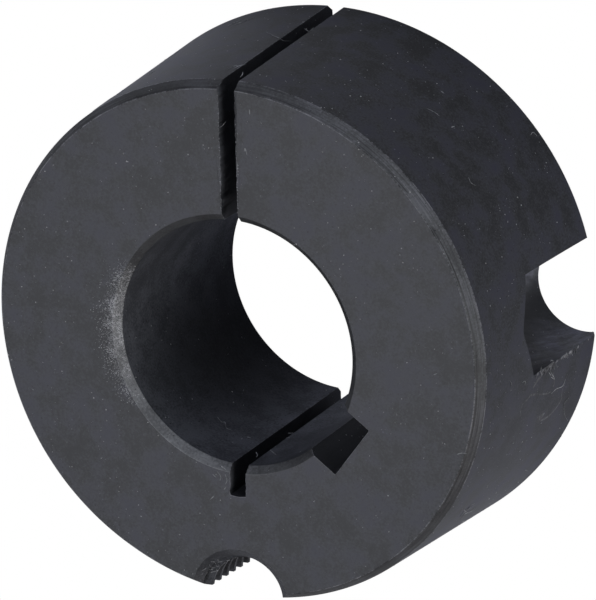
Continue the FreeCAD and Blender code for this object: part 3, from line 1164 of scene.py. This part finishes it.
# Painted shade on the bore's wall, in one dark patch deep in the bore: its middle as a place in
# the bore, the factors that draw it out along the bore, its brightness, and how that rises with the
# square of the distance.
BORE_SHADE_PLACE = (215, 6)
BORE_SHADE_STRETCH = (1, 1, 0.45)
BORE_SHADE_DARKEST = 0.33
BORE_SHADE_RISE = 0.0155
# Painted light towards the bore's ends: the most that this brightness comes to, what is added to
# that deep down, and between which heights that sets in.
BORE_MOST = 1.8
BORE_MORE = 1.3
BORE_DEEP = (16, 8)

# Painted shade and light in a blind half-hole: a dark stripe down it, paler to its sides. How far
# the stripe lies below the hole's middle, in millimetres, its brightness, and how that rises to the
# hole's sides. All of the hole turns dark towards its end, between two heights, as painted shade.
STRIPE_BELOW = 2.23
STRIPE_SHADE = 0.18
STRIPE_RISE = 6.2
HOLE_PALE = (15, 3.89)

# Painted shade in the saw cuts. The slit is darkest so far from the bore's middle, in
# millimetres: its brightness there, and how that rises with each millimetre. The flex slot's bottom
# is dark up to a place along Y, and is pale from another.
SLIT_DARK_PLACE = 13.5
SLIT_DARK_SHADE = 0.12
SLIT_RISE = 0.25
SLOT_DARK_SHADE = 0.25
SLOT_PALE = (-16, -14.57)
# Painted shade deep in the cuts and painted light at the small end: the brightness of both deep
# down and at the small end, and how far below that end it changes.
SAW_DEEP_SHADE = 0.5
SAW_TOP_SHADE = 1.25
SAW_TOP = 1


def painted_light_side(tree, azimuth, narrow, more, elsewhere):
    """Painted light: a brightness that rises to one side round the bush, where light falls."""
    close = calculate(tree, "MAXIMUM", facing(tree, math.radians(azimuth)), 0.0)
    return line(tree, calculate(tree, "POWER", close, narrow), more, elsewhere)


def painted_bore_shade(tree, size):
    """Painted shade and light on the bore's wall: dark in one patch, paler towards the ends."""
    middle = in_bore(size, *BORE_SHADE_PLACE) * MM
    apart = vector_math(tree, "SUBTRACT", object_place(tree), middle)[0]
    stretched = vector_math(tree, "MULTIPLY", apart, BORE_SHADE_STRETCH)[0]
    away = vector_math(tree, "LENGTH", stretched)["Value"]
    paler = line(tree, squared(tree, away), BORE_SHADE_RISE / MM ** 2, BORE_SHADE_DARKEST)
    deep = rising(tree, coordinates(tree)["Z"], *BORE_DEEP)
    return calculate(tree, "MINIMUM", paler, line(tree, deep, BORE_MORE, BORE_MOST))


def painted_hole_shade(tree, size):
    """Painted shade and light in a blind half-hole: dark in a stripe and where the hole ends."""
    place = coordinates(tree)
    radius = size.clearance_diameter / 2
    middle = size.clearance_circle / 2 * math.sin(size.clearance_direction) - STRIPE_BELOW
    apart = line(tree, place["Y"], 1 / (radius * MM), -middle / radius)
    shade = line(tree, squared(tree, apart), STRIPE_RISE, STRIPE_SHADE)
    return calculate(tree, "MULTIPLY", shade, rising(tree, place["Z"], *HOLE_PALE))


def painted_saw_cut_shade(tree, size):
    """Painted shade and light on the slit and the flex slot: both dark deep in the cut."""
    place = coordinates(tree)
    pale = rising(tree, place["Y"], *SLOT_PALE)
    in_slot = line(tree, pale, 1 - SLOT_DARK_SHADE, SLOT_DARK_SHADE)
    away = calculate(tree, "ABSOLUTE", calculate(
        tree, "SUBTRACT", place["Y"], SLIT_DARK_PLACE * MM))
    in_slit = ramp(tree, away, SLIT_RISE / MM, SLIT_DARK_SHADE)
    top = rising(tree, place["Z"], size.bush_length - SAW_TOP, size.bush_length)
    return calculate(tree, "MULTIPLY", calculate(tree, "MINIMUM", in_slot, in_slit),
                     line(tree, top, SAW_TOP_SHADE - SAW_DEEP_SHADE, SAW_DEEP_SHADE))


PAINTED_SHADING = {
    "bored_wall": painted_bore_shade,
    "drilled_wall": painted_hole_shade,
    "sawn_wall": painted_saw_cut_shade,
}


def painted_shading_by_place(tree, name, size):
    """A factor of painted light and shade for the finishes whose brightness changes along the bush,
    or None.
    """
    if name in PAINTED_LIGHT_SIDES:
        return painted_light_side(tree, *PAINTED_LIGHT_SIDES[name])
    if name in PAINTED_SHADING:
        return PAINTED_SHADING[name](tree, size)
    return None


def grain_glint_patch(tree):
    """How thickly the bright grains, partly painted glints, lie at a place round the bore, from 0
    to 1.
    """
    close = facing(tree, GRAINS_MIDDLE)
    edge = math.cos(GRAINS_REACH)
    patch = ramp(tree, close, 1 / (1 - edge), -edge / (1 - edge))
    fine = soft_noise(tree, object_place(tree), 1 / GRAINS_SPECKLE, 1.0)
    return calculate(tree, "MULTIPLY", patch, ramp(tree, fine, *SPECKLE_CONTRAST))


GROUPS = {"phosphate_grain": grain_group, "tool_lines": lines_group}


def add_group(tree, name, sockets=()):
    """A node of a group that the materials share. The group is made when it is first needed."""
    group = bpy.data.node_groups.get(name) or GROUPS[name]()
    return add_node(tree, "Group", sockets, node_tree=group).outputs


# How far the saw's sweeps and the drill's turns lean over, for each millimetre up, and the radius
# in metres at which lines round an axis have their length.
SWEEP_LEAN = 0.3
DRILL_LEAN = 0.35
ROUND_RADIUS = 0.02


def across_and_along(tree, direction, size):
    """The two coordinates that a surface's tool lines follow, for the way that it was cut."""
    apart = coordinates(tree)
    across, height = apart["X"], apart["Z"]
    if direction == "sweeps":
        return line(tree, height, SWEEP_LEAN, apart["Y"]), height
    if direction == "strokes":
        return calculate(tree, "ADD", across, apart["Y"]), height
    up = apart["Y"]
    if direction == "drilled":
        out = size.clearance_circle / 2 * MM
        across = calculate(tree, "SUBTRACT", calculate(tree, "ABSOLUTE", across),
                           out * math.cos(size.clearance_direction))
        up = calculate(tree, "SUBTRACT", up, out * math.sin(size.clearance_direction))
    radius = calculate(tree, "SQRT", line(tree, across, across, squared(tree, up)))
    way_round = calculate(tree, "ARCTAN2", up, across)
    if direction == "drilled":
        wall = calculate(tree, "MULTIPLY", way_round, size.clearance_diameter / 2 * MM)
        return line(tree, height, DRILL_LEAN, wall), height
    along = calculate(tree, "MULTIPLY", way_round, ROUND_RADIUS)
    return (radius if direction == "circles" else height), along


# The finishes that don't have the coat's own colour.
COLOUR_OF = {
    "rubbed_edge": "rubbed",
    "bore_chamfer": "worn",
    "turned_chamfer": "worn",
    "drilled_wall": "worn",
}

# The darkest that a fleck makes the coat, how much the grain changes the roughness, the grain's
# share of the relief, and the relief's strength and its depth in metres.
DARKEST_FLECK = 0.25
GRAIN_ROUGHNESS = 0.04
GRAIN_RELIEF = 0.5
RELIEF_STRENGTH = 0.25
RELIEF_DEPTH = 0.00003


def tinted(tree, factor, low, high):
    """A colour between two others, by a factor."""
    sockets = {"Factor": factor, 6: low, 7: high}
    for socket in (6, 7):
        if not isinstance(sockets[socket], bpy.types.NodeSocket):
            sockets[socket] = (*sockets[socket], 1)
    return add_node(tree, "Mix", sockets, data_type="RGBA").outputs[2]


def new_material(name):
    """An empty node material."""
    material = bpy.data.materials.get(name) or bpy.data.materials.new(name)
    material.use_nodes = True
    material.node_tree.nodes.clear()
    return material


def metal_material(name, finish, size):
    """The material of one cut surface."""
    look = FINISH_LOOKS[name]
    tree = new_material(name).node_tree
    grain = add_group(tree, "phosphate_grain")
    across, along = across_and_along(tree, look.direction, size)
    lines = add_group(tree, "tool_lines", {
        "Across": across, "Along": along, "Spacing": look.spacing, "Reach": look.reach})["Height"]
    base = getattr(finish, COLOUR_OF.get(name, "metal"))
    low = [value * look.shade * (1 - look.mottle) for value in base]
    high = [value * look.shade * (1 + look.mottle) for value in base]
    violet = [value * look.shade for value in finish.violet]
    tinge = calculate(tree, "MULTIPLY", grain["Tinge"], look.tinge)
    coat = tinted(tree, tinge, tinted(tree, grain["Shade"], low, high), violet)
    darker = line(tree, lines, 2 * look.streaks, 1 - look.streaks)
    flecked = line(tree, grain["Fleck"], look.flecks, 1.0)
    darker = calculate(tree, "MULTIPLY", darker, calculate(
        tree, "MAXIMUM", flecked, DARKEST_FLECK))
    # Painted shadow of the groove beside the cone chamfer.
    if name == "turned_chamfer":
        darker = calculate(tree, "MULTIPLY", darker, painted_groove_shadow(tree, across, size))
    # Painted light and shade by place, where the finish has it.
    brightness = painted_shading_by_place(tree, name, size)
    if brightness:
        darker = calculate(tree, "MULTIPLY", darker, brightness)
    streaked = add_node(
        tree, "VectorMath", {0: coat, "Scale": darker}, operation="SCALE").outputs[0]
    # The bright grains on the bore's chamfer, partly painted glints.
    if name == "bore_chamfer":
        streaked = tinted(tree, grain_glint_patch(tree), streaked, finish.grains)
    rough = line(tree, grain["Shade"], GRAIN_ROUGHNESS,
                 finish.roughness + look.rougher - GRAIN_ROUGHNESS / 2)
    height = line(tree, lines, look.relief,
                  calculate(tree, "MULTIPLY", grain["Height"], GRAIN_RELIEF))
    bump = add_node(tree, "Bump", {
        "Height": height, "Strength": RELIEF_STRENGTH, "Distance": RELIEF_DEPTH})
    shader = add_node(tree, "BsdfPrincipled", {
        "Base Color": streaked, "Roughness": rough, "Specular IOR Level": look.gloss,
        "Normal": bump.outputs[0]})
    add_node(tree, "OutputMaterial", {"Surface": shader.outputs[0]})


# The grain of what lies on the metal: its width and its patches' width in metres, and how far it
# mottles the colour.
LOOSE_GRAIN = {"Grain": 0.00030, "Patch": 0.0015}
LOOSE_MOTTLE = 0.55
# Its materials: the setting that holds the colour, and the roughness.
LOOSE_LOOKS = {
    "burr": ("burr", 0.45),
    "glitter": ("grains", 0.35),
    "dust": ("dust", 0.8),
    "lint": ("lint", 0.8),
    "smear": ("smear", 0.5),
}


def loose_material(name, finish):
    """The material of something small that lies or hangs on the metal."""
    setting, roughness = LOOSE_LOOKS[name]
    base = getattr(finish, setting)
    tree = new_material(name).node_tree
    grain = add_group(tree, "phosphate_grain", LOOSE_GRAIN)
    low = [value * (1 - LOOSE_MOTTLE) for value in base]
    high = [min(1, value * (1 + LOOSE_MOTTLE)) for value in base]
    shader = add_node(tree, "BsdfPrincipled", {
        "Base Color": tinted(tree, grain["Shade"], low, high), "Roughness": roughness})
    add_node(tree, "OutputMaterial", {"Surface": shader.outputs[0]})


class StageSettings(bpy.types.PropertyGroup):
    """Camera, lights and floor."""

    lens: amount("Lens", "Focal length in millimetres", 266.24, 10.0, 500.0)
    floor: colour("Floor", "Colour of the floor", 0.8, 0.8, 0.82)
    backlight: colour("Backlight", "Light that comes up through the floor", 0.12, 0.125, 0.15)
    surround: amount("Surround", "Brightness of the room", 0.01, 0.0, 5.0)


FLOOR_RADIUS = 1.5
FLOOR_SIDES = 96
# Where the lights under the floor stand, and how far their glow reaches, in metres. The glow would
# be this strong in its middle, but it is held at 1.
BACKLIGHTS = (((0.020, -0.009, 0.0), 0.045), ((-0.034, 0.027, 0.0), 0.028))
BACKLIGHT_PEAK = 1.6

# The height of the camera's sensor in millimetres, and where the camera stands and how it is held.
SENSOR_HEIGHT = 36.0
CAMERA_PLACE = Vector((191.85, 142.70, 389.77)) * MM
CAMERA_RIGHT = Vector((0.89546, -0.02399, -0.44449))
CAMERA_UP = Vector((-0.12111, 0.94775, -0.29513))

# Each soft light: azimuth and elevation in degrees, distance and width in metres, watts, colour.
LIGHTS = {
    "key": (-143, 58, 0.9, 0.5, 1.26, (0.87, 0.90, 1.0)),
    "top": (-153, 72, 0.9, 0.5, 1.15, (0.97, 0.98, 1.0)),
    "low_right": (-35, 22, 0.9, 0.5, 0.86, (1.0, 0.93, 0.90)),
    "low_front": (-7, 19, 0.9, 0.5, 0.86, (0.93, 1.0, 1.0)),
    "low_left": (-45, 9, 0.9, 0.5, 0.22, (1.0, 0.85, 0.95)),
    "back": (88, 30, 0.9, 0.5, 1.02, (0.80, 0.84, 1.0)),
}


def add_camera(stage):
    """The camera, at the photograph's viewing angle."""
    camera = bpy.data.objects.new("camera", bpy.data.cameras.new("camera"))
    back = CAMERA_RIGHT.cross(CAMERA_UP).normalized()
    up = back.cross(CAMERA_RIGHT).normalized()
    turn = Matrix((CAMERA_RIGHT.normalized(), up, back)).transposed()
    camera.matrix_world = Matrix.Translation(CAMERA_PLACE) @ turn.to_4x4()
    camera.data.sensor_fit = "VERTICAL"
    camera.data.sensor_height = SENSOR_HEIGHT
    camera.data.lens = stage.lens
    camera.data.clip_start = 0.01
    bpy.context.scene.collection.objects.link(camera)
    bpy.context.scene.camera = camera


def add_light(name, azimuth, elevation, distance, width, watts, tint):
    """A square soft light that looks at the middle of the bush."""
    middle = Vector((0, 0, BUSH_LENGTH / 2))
    rise = math.radians(elevation)
    way = around(math.cos(rise), math.radians(azimuth), math.sin(rise))
    lamp = bpy.data.lights.new(name, "AREA")
    lamp.size = width
    lamp.energy = watts
    lamp.color = tint
    light = bpy.data.objects.new(name, lamp)
    light.location = middle + way * distance
    light.rotation_euler = way.to_track_quat("Z", "Y").to_euler()
    bpy.context.scene.collection.objects.link(light)


def add_floor(stage):
    """A round pale floor of paper with lamps below it, which the camera sees as plain white."""
    bm = bmesh.new()
    bmesh.ops.create_circle(bm, cap_ends=True, segments=FLOOR_SIDES, radius=FLOOR_RADIUS)
    mesh = bpy.data.meshes.new("floor")
    bm.to_mesh(mesh)
    bm.free()
    floor = bpy.data.objects.new("floor", mesh)
    bpy.context.scene.collection.objects.link(floor)
    paper = bpy.data.materials.new("floor_paper")
    paper.use_nodes = True
    tree = paper.node_tree
    tree.nodes.clear()
    glow = add_node(tree, "Emission", {"Color": (1, 1, 1, 1), "Strength": 1.0})
    matt = add_node(tree, "BsdfDiffuse", {"Color": (*stage.floor, 1)})
    fading = 0.0
    for place, reach in BACKLIGHTS:
        away = vector_math(tree, "DISTANCE", object_place(tree), place)["Value"]
        lamp = ramp(tree, away, -BACKLIGHT_PEAK / reach, BACKLIGHT_PEAK)
        fading = calculate(tree, "ADD", lamp, fading)
    backlight = add_node(
        tree, "Emission", {"Color": (*stage.backlight, 1), "Strength": fading})
    backlight.name = "backlight"
    lit = add_node(tree, "AddShader", {0: matt.outputs[0], 1: backlight.outputs[0]})
    path = add_node(tree, "LightPath")
    seen = add_node(tree, "MixShader", {
        0: path.outputs["Is Camera Ray"], 1: lit.outputs[0], 2: glow.outputs[0]})
    add_node(tree, "OutputMaterial", {"Surface": seen.outputs[0]})
    mesh.materials.append(paper)
    floor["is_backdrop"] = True


def light_room(stage):
    """The room's own dim even light."""
    world = bpy.data.worlds.new("room")
    world.use_nodes = True
    background = world.node_tree.nodes["Background"]
    background.inputs["Color"].default_value = (1, 1, 1, 1)
    background.inputs["Strength"].default_value = stage.surround
    bpy.context.scene.world = world
    bpy.context.scene.view_settings.view_transform = "Standard"


class BuildMetal(bpy.types.Operator):
    """Build the bush's one piece of metal"""

    bl_idname = "taper_bush.metal"
    bl_label = "Metal"

    def execute(self, context):
        size = in_millimetres(context.scene.taper_bush_sizes)
        finish = context.scene.taper_bush_finish
        taper_bush_metal(size)
        for name in FINISHES:
            metal_material(name, finish, size)
        return {"FINISHED"}


class BuildBurrs(bpy.types.Operator):
    """Add the torn metal that the drill and the saw left"""

    bl_idname = "taper_bush.burrs"
    bl_label = "Burrs"

    def execute(self, context):
        size = in_millimetres(context.scene.taper_bush_sizes)
        torn_lip(size, 1)
        torn_lip(size, -1)
        slit_burrs(size)
        loose_material("burr", context.scene.taper_bush_finish)
        return {"FINISHED"}


class BuildDirt(bpy.types.Operator):
    """Add the bright grains with their painted glints, dust, lint and smears that lie on the metal
    """

    bl_idname = "taper_bush.dirt"
    bl_label = "Dirt"

    def execute(self, context):
        metal = bpy.data.objects.get(METAL)
        if metal is None:
            raise RuntimeError("Build the metal first")
        size = in_millimetres(context.scene.taper_bush_sizes)
        glitter(size)
        dust(metal)
        lint(size)
        smears(size)
        for name in ("glitter", "dust", "lint", "smear"):
            loose_material(name, context.scene.taper_bush_finish)
        return {"FINISHED"}


class BuildStage(bpy.types.Operator):
    """Set the camera, the lights and the floor"""

    bl_idname = "taper_bush.stage"
    bl_label = "Stage"

    def execute(self, context):
        stage = context.scene.taper_bush_stage
        add_camera(stage)
        for name, place in LIGHTS.items():
            add_light(name, *place)
        add_floor(stage)
        light_room(stage)
        return {"FINISHED"}


class BushPanel(bpy.types.Panel):
    """The bush's sizes, finishes and steps"""

    bl_idname = "VIEW3D_PT_taper_bush"
    bl_label = "Taper bush"
    bl_space_type = "VIEW_3D"
    bl_region_type = "UI"
    bl_category = "Taper bush"

    def draw(self, context):
        for operator in OPERATORS:
            self.layout.operator(operator.bl_idname)
        for group in SETTINGS:
            box = self.layout.box()
            settings = getattr(context.scene, group)
            for name in settings.__annotations__:
                box.prop(settings, name)


OPERATORS = (BuildMetal, BuildBurrs, BuildDirt, BuildStage)
SETTINGS = {
    "taper_bush_sizes": BushSizes,
    "taper_bush_finish": FinishSettings,
    "taper_bush_stage": StageSettings,
}


def register():
    for kind in (*SETTINGS.values(), *OPERATORS, BushPanel):
        bpy.utils.register_class(kind)
    for name, kind in SETTINGS.items():
        setattr(bpy.types.Scene, name, bpy.props.PointerProperty(type=kind))


def unregister():
    for name in SETTINGS:
        delattr(bpy.types.Scene, name)
    for kind in (BushPanel, *reversed(OPERATORS), *reversed(SETTINGS.values())):
        bpy.utils.unregister_class(kind)


def main():
    """Build everything in order."""
    register()
    bpy.ops.taper_bush.metal()
    bpy.ops.taper_bush.burrs()
    bpy.ops.taper_bush.dirt()
    bpy.ops.taper_bush.stage()
    boxes = {"cad": CAD_BOX, "visual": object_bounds()}
    {name: [list(corner) for corner in box] for name, box in boxes.items()}


if __name__ == "__main__":
    main()
